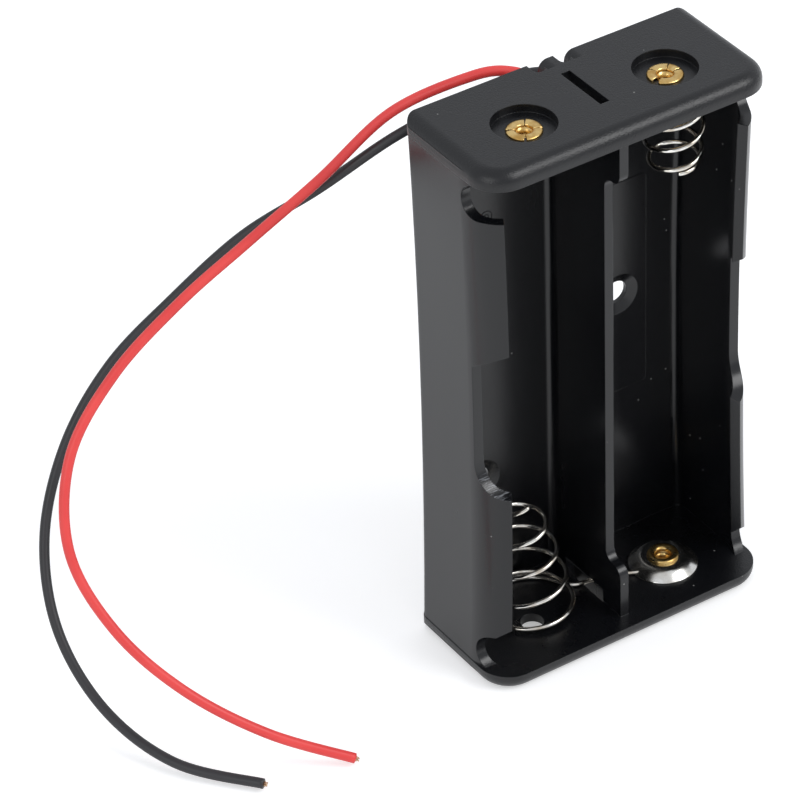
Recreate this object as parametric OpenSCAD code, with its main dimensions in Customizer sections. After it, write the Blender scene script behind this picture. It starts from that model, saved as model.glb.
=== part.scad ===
// Two-bay holder for 18650 cells, wired in series, standing on its lower end.
// Millimetres. +Z runs along the cells, the open face looks to -Y, the back lies at +Y.
// The origin is the centre of the footprint under the lower end wall.

/* [Housing] */
// Overall length, along the cells
body_l = 76.6; // [74:0.1:80]
// Depth from the open face to the back
body_d = 17.9; // [17:0.1:19]
// Width of one cell bay
bay_w = 18.5; // [18:0.1:19.5]
// Thickness of the side walls
wall_t = 1.35; // [1:0.05:1.6]
// Thickness of the wall between the bays
divider_t = 1.25; // [1:0.05:1.6]
// Thickness of the back
back_t = 1.2; // [1:0.05:1.6]
// Thickness of the two end walls
end_t = 2.35; // [2.1:0.05:3]
// Fillet round the outer edge of each end wall
edge_r = 1.8; // [1:0.1:2]
// Plan radius of the end walls' front corners
front_corner_r = 4.3; // [3:0.1:5]
// Plan radius of the end walls' back corners
back_corner_r = 1.5; // [0.5:0.1:2]
// How far the left wall bows in at half length
bow_left = 0.65; // [0.3:0.05:1]
// How far the right wall bows in at half length
bow_right = 0.9; // [0.3:0.05:1.2]
// Fillet where the walls meet the back
root_r = 1; // [0.5:0.1:1.5]

/* [Lips and finger gaps] */
// Depth at which the side walls start to curl in, measured from the back
lip_start = 11.6; // [11:0.1:12.5]
// Outer radius of the curled lip
lip_r = 5.6; // [4.5:0.1:6]
// Angle that the lip curls through
lip_angle = 59; // [50:1:62]
// Height of the finger gap's middle
gap_mid = 40.3; // [38:0.1:42]
// Length of the finger gap between the lips, at the wall
gap_l = 14.2; // [12:0.1:16]
// Depth of wall that is left at the finger gap, from the back
gap_wall_d = 12.4; // [12.2:0.1:13.2]
// Radius of the ramp at the lower end of the finger gap
ramp_r = 4.6; // [3.5:0.1:5]
// Slant of the lip at the upper end of the gap, in degrees
lip_slant = 33; // [20:1:40]
// Slant of the lower lip's lower end, in degrees
tail_slant = 45; // [20:1:50]
// Radius of the scoop beside the upper end wall
top_scoop_r = 2.45; // [2:0.05:2.6]
// Radius of the scoop beside the lower end wall
low_scoop_r = 2.6; // [2:0.05:2.8]

/* [Divider] */
// Depth of the divider along the bays, from the back
divider_d = 12.5; // [11:0.1:13.5]
// Depth of the divider's feet at the end walls, from the back
foot_d = 15.6; // [15:0.1:16.5]
// Height of each foot from the outside of its end wall
foot_h = 9.7; // [8:0.1:11]
// Radius of the two bends in each foot's edge
foot_r = 1.55; // [1:0.05:2]

/* [Contacts] */
// How far each contact axis stands to the outside of its bay's middle
contact_out = 0.2; // [0:0.05:0.4]
// Depth of the contact axes, from the back
contact_d = 9.85; // [9:0.05:10.5]
// Hole for an eyelet through an end wall
rivet_hole_d = 3; // [2.6:0.1:3.2]
// Clearance between an eyelet's shank and its hole, on the radius
rivet_fit = 0.05; // [0.02:0.01:0.1]
// Bore of an eyelet
eyelet_bore_d = 1.95; // [1.6:0.05:2.1]
// Diameter of an eyelet's head inside the bay
eyelet_head_d = 4.05; // [3.8:0.05:4.4]
// Diameter of an eyelet's rolled end outside
eyelet_roll_d = 4.5; // [4:0.1:5]
// Thickness of an eyelet's head and of its rolled end
eyelet_rim_t = 0.42; // [0.3:0.02:0.5]
// Width of the splits in an eyelet's rolled end
split_w = 0.3; // [0.2:0.05:0.5]
// Diameter of the recess outside each contact
recess_d = 8; // [7:0.1:9]
// Depth of that recess
recess_depth = 1.1; // [0.8:0.05:1.2]
// Diameter of a positive contact washer
washer_d = 8.9; // [8:0.1:9.5]
// Thickness of a contact washer
washer_t = 0.35; // [0.25:0.05:0.5]
// Rise of a contact washer from its rim to its middle
washer_dome = 0.2; // [0.1:0.05:0.4]

/* [Springs] */
// Spring wire
wire_d = 0.6; // [0.5:0.05:0.7]
// Gap between a clamped wire and what holds it
wire_gap = 0.04; // [0.03:0.01:0.08]
// Radius of the series spring at its base
series_base_r = 5.5; // [5:0.1:5.6]
// Radius of the series spring at its tip
series_tip_r = 2.1; // [1.6:0.1:2.6]
// Turns of the series spring above its closed turn
series_turns = 3.75; // [3:0.25:4.5]
// Rise of each of those turns
series_pitch = 4; // [3.2:0.1:4.2]
// How far the series spring stands to the inside of its bay's contact axis
series_in = 1.55; // [1:0.05:2]
// How far the series spring stands behind the contact axis
series_back = 2.4; // [1.6:0.1:2.6]
// Radius of the negative spring at its base
negative_base_r = 5.2; // [4:0.1:5.4]
// Radius of the negative spring at its free end
negative_tip_r = 2.9; // [2.4:0.1:3.6]
// Turns of the negative spring below its closed turn
negative_turns = 3.7; // [3:0.05:4]
// Rise of each of those turns, before the last ones close up
negative_pitch = 3.5; // [2.8:0.05:3.6]

/* [Screw holes] */
// Clearance hole for a countersunk screw
screw_d = 3.2; // [3:0.1:3.6]
// Mouth of the countersink
screw_head_d = 5.8; // [5:0.1:6.4]
// Depth of the countersink
countersink = 0.6; // [0.4:0.05:0.8]
// How far the right hole stands to the inside of its bay's middle
screw_in = 0.4; // [0:0.1:1]
// How far the left hole stands to the outside of its bay's middle
screw_out = 1.7; // [1:0.1:2]
// Height of the hole in the right bay
right_screw_z = 39.2; // [34:0.1:44]
// Height of the hole in the left bay
left_screw_z = 19.8; // [16:0.1:60]

/* [Slots for the wires] */
// Width of the slot in each end wall
slot_w = 1.3; // [1:0.1:1.6]
// Length of that slot
slot_l = 8.1; // [6:0.1:9]
// Depth of the slot's middle, from the back
slot_d = 7.8; // [7:0.1:9]
// How far the slot runs on through the divider
slot_run = 2; // [1:0.1:3]
// Width of the window in the back that a lead leaves through
window_w = 2.9; // [2.4:0.1:3.2]
// Distance between the two windows
window_pitch = 4.1; // [3.8:0.1:4.6]
// Depth of a window and of its throat, from the back
window_d = 2.1; // [1.8:0.1:2.4]
// Distance of a window's lower edge from the top
window_low = 5; // [4:0.1:6]
// Width of the throat that opens a window to the top
throat_w = 1.6; // [1.4:0.1:1.8]
// Distance between the two throats
throat_pitch = 3.75; // [3.6:0.05:3.9]
// How far left of the middle the two throats lie
throat_left = 0.2; // [0:0.05:0.3]
// Height of a throat
throat_h = 2; // [1.8:0.1:2.2]
// Radius of a throat's right shoulder
throat_r = 1.3; // [0.6:0.1:1.4]

/* [Leads] */
// Diameter of a lead over its insulation
lead_d = 1.3; // [1.1:0.05:1.6]
// Diameter of the bare strands
strand_d = 0.55; // [0.4:0.05:0.6]

/* [Hidden] */

$fn = 96;
eps = 0.01;
over = 2;                                   // how far a cut runs past a face
bow_fn = 720;                               // segments of the bowed walls' circles

body_w = 2 * bay_w + 2 * wall_t + divider_t;
back_y = body_d / 2;                        // outside of the back
floor_y = back_y - back_t;                  // bottom of the bays
low_z = end_t;                              // inside of the lower end wall
high_z = body_l - end_t;                    // inside of the upper end wall
bite = end_t / 2;                           // how far walls run into the end walls
contact_x = (divider_t + bay_w) / 2 + contact_out;
contact_y = back_y - contact_d;
right_screw_x = (divider_t + bay_w) / 2 - screw_in;
left_screw_x = -(divider_t + bay_w) / 2 - screw_out;
shank_r = rivet_hole_d / 2 - rivet_fit;
bore_r = eyelet_bore_d / 2;
top_scoop_d = back_y + 5.25;                // depth of each scoop's centre, from the back
low_scoop_d = back_y + 6.1;
top_scoop_in = 5.2;                         // and its distance from the end of the body
low_scoop_in = 4.75;

black = "#26272b";
brass = "#c9a24a";
nickel = "#c9ccd2";
copper = "#c08a5a";
red = "#d8262b";

// What lies between an end wall and the eyelet's head
wire_seat = wire_d + 2 * wire_gap;
strand_seat = strand_d + 2 * wire_gap;
washer_stack = washer_dome + washer_t + wire_gap;

// ---- Housing --------------------------------------------------------------

// A rectangle from x0 to x1 whose lower corners can be rounded by r
module rounded_low(x0, x1, h, r, left, right) {
    intersection() {
        union() {
            translate([x0, r]) square([x1 - x0, h - r]);
            translate([x0 + left * r, 0]) square([x1 - x0 - (left + right) * r, h]);
            if (left) translate([x0 + r, r]) circle(r = r);
            if (right) translate([x1 - r, r]) circle(r = r);
        }
        translate([x0, 0]) square([x1 - x0, h]);
    }
}

// What a rounding of radius r takes off a square corner at the origin, the body lying at -x, -y
module corner_cut(r) {
    difference() {
        translate([-r, -r]) square(r + over);
        translate([-r, -r]) circle(r = r);
    }
}

// An end wall with its outer face at z = 0, rounded there at the front and the sides
module end_wall() {
    half = body_w / 2;
    corner_x = half - front_corner_r;
    corner_y = -back_y + front_corner_r;
    difference() {
        union() {
            translate([0, back_y, 0]) rotate([90, 0, 0])
                linear_extrude(body_d - front_corner_r) rounded_low(-half, half, end_t, edge_r, 1, 1);
            translate([-corner_x, 0, 0]) rotate([90, 0, 90])
                linear_extrude(2 * corner_x) rounded_low(-back_y, back_y - 1, end_t, edge_r, 1, 0);
            for (s = [-1, 1])
                translate([s * corner_x, corner_y, 0])
                    rotate_extrude() intersection() {
                        rounded_low(-front_corner_r, front_corner_r, end_t, edge_r, 1, 1);
                        square([front_corner_r, end_t]);
                    }
        }
        for (s = [0, 1])
            mirror([s, 0, 0]) translate([half, back_y, -over])
                linear_extrude(end_t + 2 * over) corner_cut(back_corner_r);
    }
}

// Section of the right side wall: x = 0 is its outer face, y runs from the back to the front
module wall_section() {
    root_w = wall_t + root_r + over;
    union() {
        translate([-wall_t, back_corner_r]) square([wall_t, lip_start - back_corner_r]);
        translate([-root_w, 0]) square([root_w - back_corner_r, back_t]);
        intersection() {
            translate([-back_corner_r, back_corner_r]) circle(r = back_corner_r);
            translate([-back_corner_r, 0]) square(back_corner_r);
        }
        translate([-wall_t, back_t]) square([wall_t - eps, back_corner_r]);
        difference() {
            translate([-wall_t - root_r, back_t - eps]) square([root_r + eps, root_r + eps]);
            translate([-wall_t - root_r, back_t + root_r]) circle(r = root_r);
        }
        translate([-lip_r, lip_start]) intersection() {
            difference() {
                circle(r = lip_r);
                circle(r = lip_r - wall_t);
            }
            polygon([[0, 0], [2 * lip_r, 0], [2 * lip_r, 2 * lip_r],
                [2 * lip_r * cos(lip_angle), 2 * lip_r * sin(lip_angle)]]);
        }
    }
}

// Side view of a side wall: x is the depth from the back, y the height
module wall_side() {
    gap_low = gap_mid - gap_l / 2;
    gap_high = gap_mid + gap_l / 2;
    reach = body_d + over;
    difference() {
        translate([0, bite]) square([body_d, body_l - 2 * bite]);
        // finger gap, with its ramp below and its slanted lip above
        translate([gap_wall_d, gap_low]) square([reach, gap_l]);
        translate([gap_wall_d + ramp_r, gap_low]) circle(r = ramp_r);
        polygon([[gap_wall_d, gap_high - eps], [reach, gap_high - eps],
            [reach, gap_high + (reach - gap_wall_d) * tan(lip_slant)]]);
        // scoops beside the end walls
        scoop(top_scoop_d, body_l - top_scoop_in, top_scoop_r, reach);
        scoop(low_scoop_d, low_scoop_in, low_scoop_r, reach);
        // slanted lower end of the lower lip
        polygon([[low_scoop_d, low_scoop_in + low_scoop_r - eps],
            [reach, low_scoop_in + low_scoop_r - eps],
            [reach, low_scoop_in + low_scoop_r + (reach - low_scoop_d) * tan(tail_slant)]]);
    }
}

// A round-ended cut of radius r, from depth d out past the front
module scoop(d, z, r, reach) {
    translate([d, z]) circle(r = r);
    translate([d, z - r]) square([reach - d, 2 * r]);
}

// The right side wall, bowed in by bow at half length
module side_wall(bow) {
    half_l = body_l / 2;
    bow_r = (half_l * half_l + bow * bow) / (2 * bow);
    intersection() {
        translate([body_w / 2 - bow + bow_r, back_y, half_l]) rotate([90, 0, 0])
            rotate([0, 0, 180])
            rotate_extrude($fn = bow_fn)
            translate([bow_r, 0]) mirror([1, 0]) wall_section();
        translate([0, back_y, 0]) rotate([90, 0, 0]) rotate([0, 90, 0])
            linear_extrude(body_w) mirror([1, 0]) wall_side();
    }
}

// Side view of the divider: x is the depth from the back, y the height
module divider_side() {
    step_r = min(foot_r, (foot_d - divider_d) / 2);
    translate([0, bite]) square([divider_d, body_l - 2 * bite]);
    for (s = [0, 1])
        translate([0, s * body_l]) mirror([0, s]) {
            difference() {
                translate([0, bite]) square([foot_d, foot_h - bite]);
                translate([foot_d, foot_h]) corner_cut(step_r);
            }
            difference() {
                translate([divider_d - eps, foot_h - eps]) square(step_r + eps);
                translate([divider_d + step_r, foot_h + step_r]) circle(r = step_r);
            }
        }
}

// The divider, with the fillets at its root
module divider() {
    translate([-divider_t / 2, back_y, 0]) mirror([0, 1, 0]) rotate([90, 0, 90])
        linear_extrude(divider_t) divider_side();
    for (s = [0, 1])
        mirror([s, 0, 0]) translate([divider_t / 2, floor_y, bite]) mirror([0, 1, 0])
            linear_extrude(body_l - 2 * bite) difference() {
                translate([-eps, -eps]) square(root_r + eps);
                translate([root_r, root_r]) circle(r = root_r);
            }
}

module back() {
    half = body_w / 2 - bow_right - wall_t;
    translate([-half, floor_y, bite]) cube([2 * half, back_t, body_l - 2 * bite]);
}

// Everything that is cut from one end: the slot, the recesses and the eyelet holes
module end_cuts() {
    translate([-slot_w / 2, back_y - slot_d - slot_l / 2, -over])
        cube([slot_w, slot_l, over + end_t + slot_run]);
    for (s = [-1, 1])
        translate([s * contact_x, contact_y, -over]) {
            cylinder(d = recess_d, h = over + recess_depth);
            cylinder(d = rivet_hole_d, h = end_t + 2 * over);
        }
}

// A hole through the back, countersunk from inside the bay
module screw_hole(x, z) {
    translate([x, floor_y, z]) rotate([-90, 0, 0]) {
        translate([0, 0, -eps]) cylinder(d1 = screw_head_d, d2 = screw_d, h = countersink);
        cylinder(d = screw_d, h = back_t + over);
    }
}

// An upright channel in the back from z0 to z1, with a round front
module back_channel(x, w, z0, z1) {
    r = w / 2;
    front_y = back_y - window_d;
    translate([x, 0, z0]) linear_extrude(z1 - z0) {
        translate([0, front_y + r]) circle(r = r);
        translate([-r, front_y + r]) square([w, window_d - r + over]);
    }
}

// The way out of a lead: a window, and a throat above it with a rounded right shoulder, through
// which the lead is pushed down into the window
module lead_way(side) {
    throat_x = side * throat_pitch / 2 - throat_left;
    throat_z = body_l - throat_h;
    back_channel(side * window_pitch / 2, window_w, body_l - window_low, throat_z);
    back_channel(throat_x, throat_w, throat_z - eps, body_l + over);
    translate([throat_x + throat_w / 2, back_y + over, body_l]) rotate([90, 0, 0])
        linear_extrude(window_d + over) difference() {
            translate([-eps, -throat_r]) square([throat_r + eps, throat_r + over]);
            translate([throat_r, -throat_r]) circle(r = throat_r);
        }
}

module housing() {
    color(black) difference() {
        union() {
            end_wall();
            translate([0, 0, body_l]) mirror([0, 0, 1]) end_wall();
            side_wall(bow_right);
            mirror([1, 0, 0]) side_wall(bow_left);
            back();
            divider();
        }
        end_cuts();
        translate([0, 0, body_l]) mirror([0, 0, 1]) end_cuts();
        screw_hole(right_screw_x, right_screw_z);
        screw_hole(left_screw_x, left_screw_z);
        for (s = [-1, 1]) lead_way(s);
    }
}

// ---- Contacts, all drawn for the lower end with the wall's outside at z = 0 ----

// The upper end's copy of what is drawn for the lower end
module at_top() {
    translate([0, 0, body_l]) mirror([0, 0, 1]) children();
}

// Half section of a plate of radius r from z0 up, with a rounded rim
module rim_section(r, z0) {
    translate([bore_r, z0]) square([r - bore_r - eyelet_rim_t / 2, eyelet_rim_t]);
    translate([r - eyelet_rim_t / 2, z0 + eyelet_rim_t / 2]) circle(d = eyelet_rim_t);
}

// A tubular rivet: its head stands stack above the wall, its far end is split and rolled
module eyelet(stack) {
    head_z = end_t + stack;
    roll_z = recess_depth - eyelet_rim_t;
    color(brass) difference() {
        rotate_extrude() difference() {
            union() {
                rim_section(eyelet_head_d / 2, head_z);
                rim_section(eyelet_roll_d / 2, roll_z);
                translate([bore_r, roll_z]) square([shank_r - bore_r, head_z - roll_z + eps]);
            }
            funnel(head_z + eyelet_rim_t, 1);
            funnel(roll_z, -1);
        }
        for (a = [20 : 90 : 290])
            rotate([0, 0, a]) translate([shank_r, -split_w / 2, roll_z - over])
                cube([recess_d, split_w, over + eyelet_rim_t - eps]);
    }
}

// Half section of the flare at a bore's mouth at height z, opening up (1) or down (-1)
module funnel(z, up) {
    flare = (shank_r - bore_r) * 0.8;
    polygon([[bore_r - eps, z + up * eps], [bore_r + flare, z + up * eps],
        [bore_r - eps, z - up * (flare + eps)]]);
}

// A domed contact washer whose rim stands seat above the wall
module washer(seat) {
    hole_r = shank_r + rivet_fit;
    rim_r = washer_d / 2;
    z = end_t + seat;
    color(nickel) rotate_extrude() polygon([[hole_r, z + washer_dome], [rim_r, z],
        [rim_r, z + washer_t], [hole_r, z + washer_dome + washer_t]]);
}

module positive_contact_washer()
    at_top() translate([-contact_x, contact_y, 0]) washer(strand_seat);
module positive_contact_eyelet()
    at_top() translate([-contact_x, contact_y, 0]) eyelet(strand_seat + washer_stack);
module series_contact_washer()
    translate([contact_x, contact_y, 0]) washer(wire_seat);
module series_contact_eyelet()
    translate([contact_x, contact_y, 0]) eyelet(wire_seat + washer_stack);
module negative_contact_eyelet()
    at_top() translate([contact_x, contact_y, 0]) eyelet(wire_seat + strand_seat);

// ---- Wires: each is a ring of points carried along its route ----------------

function unit(v) = v / norm(v);
function mix(a, b, u) = a + (b - a) * u;
function tangent(path, i) =
    unit(path[min(i + 1, len(path) - 1)] - path[max(i - 1, 0)]);
function ring(p, t, ref, r, sides) =
    let (u = unit(cross(t, ref)), w = cross(t, u))
    [for (k = [0 : sides - 1]) p + r * (cos(360 * k / sides) * u + sin(360 * k / sides) * w)];

// A round bar of radius r along path; ref is a direction that the path never takes
module swept(path, r, ref, sides) {
    n = len(path);
    points = [for (i = [0 : n - 1]) each ring(path[i], tangent(path, i), ref, r, sides)];
    walls = [for (i = [0 : n - 2]) for (k = [0 : sides - 1])
        let (a = i * sides + k, b = i * sides + (k + 1) % sides)
        each [[a, b + sides, b], [a, a + sides, b + sides]]];
    caps = [[for (k = [0 : sides - 1]) k], [for (k = [sides - 1 : -1 : 0]) (n - 1) * sides + k]];
    polyhedron(points = points, faces = concat(walls, caps));
}

// Where a straight wire from p meets the circle round c, passing it on its right-hand side
function meet_angle(p, c, r) =
    let (d = c - p) atan2(d[1], d[0]) - asin(r / norm(d)) - 90;
function around(c, r, a, z) = [c[0] + r * cos(a), c[1] + r * sin(a), z];

wire_steps = 20;                            // points in each turn of a wire
wire_sides = 6;
up = [0, 0, 1];
hook_turn = 252;                            // how far a clamped wire goes round the shank
hook_step = 12;                             // from one point of that hook to the next

// A point of a spring whose axis leans: d is its place in its turn, z its distance from the wall.
// The turns tip over with the axis as they leave the closed turn; side is 1 upwards, -1 downwards.
function ease(u) = let (v = max(0, min(1, u))) v * v * (3 - 2 * v);
function leaning(c, d, z, lean, t, z0, side) =
    let (tip = ease((t + 1) / 1.5) * (lean * d))
    [c[0] + lean[0] * z + d[0], c[1] + lean[1] * z + d[1], z0 + side * (z - tip)];

// The series spring, drawn from its closed turn up; t counts turns
series_c = [-contact_x + series_in, contact_y + series_back];
series_z = low_z + wire_gap + wire_d / 2;
series_start = -0.93;
series_lean = [-0.04, 0.1];                 // sideways run of its axis for each millimetre of rise
closed_rise = 0.78;                         // rise of the series spring's closed turn
series_swell = 1.75;                        // how the radius falls off towards the tip
function series_point(t) =
    let (u = (t + 1) / (series_turns + 1),
         r = mix(series_base_r, series_tip_r, pow(u, series_swell)),
         z = t < 0 ? closed_rise * pow(t + 1, 2) : closed_rise + series_pitch * t)
    leaning(series_c, r * [cos(360 * t), sin(360 * t)], z, series_lean, t, series_z, 1);

// Its tail: a bend, a straight run through the divider's notch, and a hook round the eyelet
series_eyelet = [contact_x, contact_y];
wire_hook_r = shank_r + wire_gap + wire_d / 2;
link_mid = [0, contact_y + 2.15, series_z];
link_end = [contact_x - 5.7, contact_y + 0.8, series_z];
bend_knee = [series_c[0] + series_base_r + 0.55, link_mid[1] + 0.35, series_z];
function bend(u) = let (a = series_point(series_start), b = mix(link_mid, bend_knee, 0.5))
    mix(mix(a, bend_knee, u), mix(bend_knee, b, u), u);
link_angle = meet_angle([link_end[0], link_end[1]], series_eyelet, wire_hook_r);
series_path = concat(
    [for (a = [hook_turn : -hook_step : 0])
        around(series_eyelet, wire_hook_r, link_angle + a, series_z)],
    [link_end, link_mid],
    [for (u = [1 : -0.25 : 0.25]) bend(u)],
    [for (i = [0 : round((series_turns - series_start) * wire_steps)])
        series_point(series_start + i / wire_steps)]);

// The negative spring, drawn from its closed turn at the upper wall down
negative_c = [contact_x + 1.05, contact_y + 0.4];
negative_z = high_z - wire_gap - wire_d / 2;
negative_lean = [0.1, 0.05];
negative_phase = 135;                       // where the closed turn begins
negative_rise = 1.35;                       // fall of the negative spring's closed turn
negative_swell = 0.6;
closing = 1.3;                              // turns over which its free end closes up
closing_power = 1.5;
function negative_fall(t) =
    let (open_t = min(t, negative_turns - closing), v = max(0, t - open_t) / closing)
    t < 0 ? negative_rise * pow(t + 1, 2)
        : negative_rise + negative_pitch * (open_t
            + closing * (1 - pow(1 - v, closing_power + 1)) / (closing_power + 1));
function negative_point(t) =
    let (u = (t + 1) / (negative_turns + 1), a = negative_phase - 360 * t,
         r = mix(negative_base_r, negative_tip_r, pow(u, negative_swell)))
    leaning(negative_c, r * [cos(a), sin(a)], negative_fall(t), negative_lean, t, negative_z, -1);

// From the closed turn the wire winds in flat to the eyelet's shank
wind_turn = 300;
negative_eyelet = [contact_x, contact_y];
function wind_point(u) =
    around(mix(negative_eyelet, negative_c, ease(u)), mix(wire_hook_r, negative_base_r, ease(u)),
        negative_phase + wind_turn * (1 - u), negative_z);
negative_path = concat(
    [for (a = [hook_turn : -hook_step : hook_step])
        around(negative_eyelet, wire_hook_r, negative_phase + wind_turn + a, negative_z)],
    [for (i = [0 : 15]) wind_point(i / 16)],
    [for (i = [0 : round((negative_turns + 1) * wire_steps)]) negative_point(i / wire_steps - 1)]);

module series_spring() color(nickel) swept(series_path, wire_d / 2, up, wire_sides);
module negative_spring() color(nickel) swept(negative_path, wire_d / 2, up, wire_sides);

// ---- Leads: routes chosen by hand, from the contact to the free end ---------

red_route = [
    [-4.9, 1.8, 73.5], [-4, 4.5, 73.2], [-2.6, 7, 73.4], [-2.1, 9.3, 73.8], [-2.8, 11.7, 74.3],
    [-7, 14, 74.2], [-15.5, 19, 69.7], [-25, 20.5, 63], [-35, 21, 57.8], [-45, 21, 53],
    [-54.5, 21, 46.5], [-62, 19.5, 38.5], [-65, 16, 28], [-63, 10, 19],
    [-57.5, 4, 11], [-50, -2.5, 5], [-41.5, -8.5, 1]];
black_route = [
    [8.6, 5.6, 73.2], [6, 6.3, 73.1], [3.4, 6.7, 73], [2, 9, 72.9], [1.5, 12, 72.5],
    [-1.5, 14.2, 71.6], [-7.5, 15.6, 70], [-16, 18, 66.8], [-24, 22.5, 60.2], [-32, 27.5, 53.8],
    [-40, 31.5, 45.5],
    [-48, 34, 37.5], [-55, 34, 28.5], [-61, 30, 19.5], [-64, 23, 11],
    [-63.5, 13.5, 4.5], [-60, 3, 1.5], [-53, -6, 1]];
lead_ref = [0, 1, 0];
lead_sides = 8;
lead_steps = 2;                             // rings from one route point to the next

// A smooth curve through the route's points
function through(p, i, u) =
    let (a = p[max(i - 1, 0)], b = p[i], c = p[i + 1], d = p[min(i + 2, len(p) - 1)])
    b + 0.5 * u * (c - a + u * (2 * a - 5 * b + 4 * c - d + u * (3 * b - a - 3 * c + d)));
function smooth_route(p, steps) = concat(
    [for (i = [0 : len(p) - 2]) for (k = [0 : steps - 1]) through(p, i, k / steps)],
    [p[len(p) - 1]]);

// Bare strands from a lead's start to a hook round an eyelet's shank, seat below the wall
strand_hook_r = shank_r + wire_gap + strand_d / 2;
function strand_path(start, c, z, side) =
    let (flat = [side * start[0], start[1]], eye = [side * c[0], c[1]],
         from = mix([flat[0], flat[1], z], [eye[0], eye[1], z], 0.25),
         a0 = meet_angle([from[0], from[1]], eye, strand_hook_r))
    [for (p = concat([[flat[0], flat[1], start[2]], from],
        [for (a = [0 : hook_step : hook_turn]) around(eye, strand_hook_r, a0 + a, z)]))
        [side * p[0], p[1], p[2]]];
red_strand_z = high_z - wire_gap - strand_d / 2;
black_strand_z = high_z - wire_seat - strand_d / 2;

module red_lead()
    color(red) swept(smooth_route(red_route, lead_steps), lead_d / 2, lead_ref, lead_sides);
module black_lead()
    color(black) swept(smooth_route(black_route, lead_steps), lead_d / 2, lead_ref, lead_sides);
module red_lead_strands()
    color(copper) swept(strand_path(red_route[0], [-contact_x, contact_y], red_strand_z, -1),
        strand_d / 2, up, wire_sides);
module black_lead_strands()
    color(copper) swept(strand_path(black_route[0], [contact_x, contact_y], black_strand_z, 1),
        strand_d / 2, up, wire_sides);

housing();
positive_contact_washer();
positive_contact_eyelet();
series_contact_washer();
series_contact_eyelet();
negative_contact_eyelet();
series_spring();
negative_spring();
red_lead();
red_lead_strands();
black_lead();
black_lead_strands();
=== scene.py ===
# %% [markdown]
# # A holder for two cylindrical cells
# The holder is one black moulding that stands on its end, with nickel springs and washers, brass
# eyelets and two insulated leads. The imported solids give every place; this script gives the
# finishes, the fine wire work and the leads.

import bpy
import mathutils
import numpy as np
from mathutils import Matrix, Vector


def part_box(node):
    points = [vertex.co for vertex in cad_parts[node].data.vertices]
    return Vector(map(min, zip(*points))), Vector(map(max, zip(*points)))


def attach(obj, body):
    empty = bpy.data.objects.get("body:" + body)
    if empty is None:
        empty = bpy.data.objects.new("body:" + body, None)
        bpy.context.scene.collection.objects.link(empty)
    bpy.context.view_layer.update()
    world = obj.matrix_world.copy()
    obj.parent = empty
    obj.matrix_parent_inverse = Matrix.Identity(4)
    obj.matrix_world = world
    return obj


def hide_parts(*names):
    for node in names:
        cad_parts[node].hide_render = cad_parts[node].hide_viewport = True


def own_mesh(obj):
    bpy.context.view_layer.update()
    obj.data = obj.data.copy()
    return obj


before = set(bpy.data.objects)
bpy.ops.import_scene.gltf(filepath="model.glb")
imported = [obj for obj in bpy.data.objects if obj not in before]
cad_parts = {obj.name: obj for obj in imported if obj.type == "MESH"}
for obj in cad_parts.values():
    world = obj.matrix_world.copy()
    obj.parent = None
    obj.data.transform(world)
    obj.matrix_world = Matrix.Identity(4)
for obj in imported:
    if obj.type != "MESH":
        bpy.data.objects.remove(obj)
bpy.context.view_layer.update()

# %% [markdown]
# ## Units and places
# The frame is in metres, but a holder is thought of in millimetres, so every size below is written
# in millimetres and times `MM`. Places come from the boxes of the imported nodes.

# %% Places that the frame gives
MM = 0.001


def node_box(node):
    """A node's lowest and highest corners, in millimetres."""
    return [np.array(corner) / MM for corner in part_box(node)]


def middle(node):
    """The centre of a node's box, in millimetres."""
    low, high = node_box(node)
    return (low + high) / 2


body_low, body_high = node_box("housing")
BODY_L = body_high[2]
BACK_Y = body_high[1]
series_eye = middle("series_contact_eyelet")
print("body, mm:", (body_high - body_low).round(2), "contact x:", series_eye[0].round(2))

# %% [markdown]
# ## The camera
# A long lens stands well back, above the holder and to its left, turned slightly about its own
# axis. Its place follows from the angles, and from how far off the middle of the view the
# holder's own middle lies, as a share of the view's width.

# %% Camera
AZIMUTH, ELEVATION, ROLL = np.radians([-32.34, 36.59, 2.1])
DISTANCE = 574.2 * MM
LENS_MM, SENSOR_MM = 213.0, 36.0
AIM = np.array([0.0, 0.0, 38.0]) * MM
AIM_OFF = np.array([0.2404, 0.0511])

back = np.array([np.sin(AZIMUTH) * np.cos(ELEVATION), -np.cos(AZIMUTH) * np.cos(ELEVATION),
                 np.sin(ELEVATION)])
right = np.array([np.cos(AZIMUTH), np.sin(AZIMUTH), 0.0])
up = np.cross(back, right)
turn = np.array([[np.cos(ROLL), -np.sin(ROLL)], [np.sin(ROLL), np.cos(ROLL)]])
right, up = turn @ np.array([right, up])
axes = np.array([right, up, back]).T
eye = AIM - axes @ (np.append(AIM_OFF * SENSOR_MM / LENS_MM, -1.0) * DISTANCE)

camera = bpy.data.objects.new("camera", bpy.data.cameras.new("camera"))
bpy.context.scene.collection.objects.link(camera)
camera.data.lens = LENS_MM
camera.data.sensor_width = SENSOR_MM
camera.data.clip_end = 10.0
matrix = mathutils.Matrix(axes.tolist()).to_4x4()
matrix.translation = eye
camera.matrix_world = matrix
bpy.context.scene.camera = camera
print("camera stands at, mm:", (eye / MM).round(1))

# %% [markdown]
# ## Helpers for meshes and materials
# Every new piece is a grid of points: rows along it, columns round it. One function turns such
# grids into faces and one object, another adds a shader node with its settings and links. Colours
# are written as hex values, the way a paint chart gives them, and turned to linear light.

# %% Mesh and node helpers


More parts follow.
